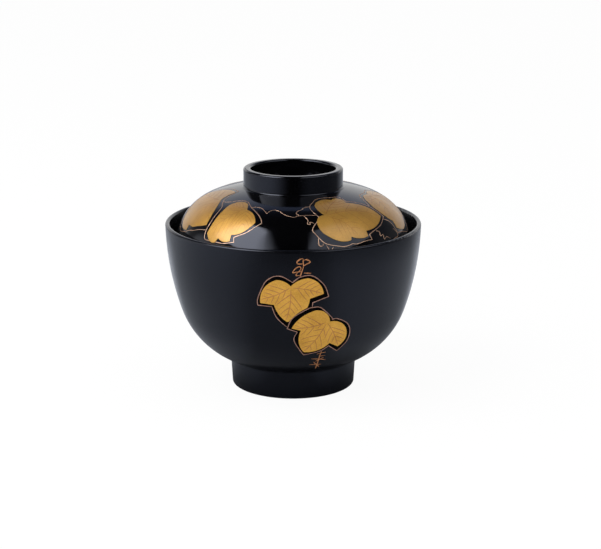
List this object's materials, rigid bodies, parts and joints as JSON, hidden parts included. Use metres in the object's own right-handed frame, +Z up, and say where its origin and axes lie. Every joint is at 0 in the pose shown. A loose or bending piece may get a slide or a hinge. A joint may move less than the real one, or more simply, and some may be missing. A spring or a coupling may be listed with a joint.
{
  "type": "lacquer soup bowl with lid",
  "caption": "Round black lacquer soup bowl on a foot ring, with a domed lid that drops inside the rim, a ring knob and gold ivy leaves; the lid lifts off.",
  "frame": {"origin": "on the table under the bowl's axis, at the foot ring's lower face", "axes": "+Z up along the bowl's axis, -Y towards the painted front"},
  "size_m": [0.113, 0.113, 0.098],
  "materials": {
    "satin_lacquer": "satin black lacquer",
    "gloss_lacquer": "polished black lacquer",
    "gold_leaf": "gold powder, burnished",
    "copper_gold_line": "copper-gold drawn line",
    "vein_line": "red-brown drawn line"
  },
  "bodies": {
    "bowl": {"bowl": "satin_lacquer", "bowl_bottom_tendril": "copper_gold_line", "bowl_lower_leaf_contour": "copper_gold_line", "bowl_lower_leaf_gold": "gold_leaf", "bowl_lower_leaf_veins": "vein_line", "bowl_top_tendril": "copper_gold_line", "bowl_upper_leaf_contour": "copper_gold_line", "bowl_upper_leaf_gold": "gold_leaf", "bowl_upper_leaf_veins": "vein_line"},
    "lid": {"lid": "gloss_lacquer", "lid_back_left_leaf_contour": "copper_gold_line", "lid_back_left_leaf_gold": "gold_leaf", "lid_back_left_leaf_veins": "vein_line", "lid_back_right_leaf_contour": "copper_gold_line", "lid_back_right_leaf_gold": "gold_leaf", "lid_back_right_leaf_veins": "vein_line", "lid_back_tendrils": "copper_gold_line", "lid_back_vine": "copper_gold_line", "lid_front_left_leaf_contour": "copper_gold_line", "lid_front_left_leaf_gold": "gold_leaf", "lid_front_left_leaf_veins": "vein_line", "lid_front_right_leaf_contour": "copper_gold_line", "lid_front_right_leaf_gold": "gold_leaf", "lid_front_right_leaf_veins": "vein_line", "lid_front_tendrils": "copper_gold_line", "lid_front_vine": "copper_gold_line", "lid_left_leaf_contour": "copper_gold_line", "lid_left_leaf_gold": "gold_leaf", "lid_left_leaf_veins": "vein_line", "lid_right_leaf_contour": "copper_gold_line", "lid_right_leaf_gold": "gold_leaf", "lid_right_leaf_veins": "vein_line"}
  },
  "joints": [
    {"name": "lid_lift", "type": "slide", "parent": "bowl", "child": "lid", "axis": [0, 0, 1], "range_m": [0, 0.1]}
  ]
}
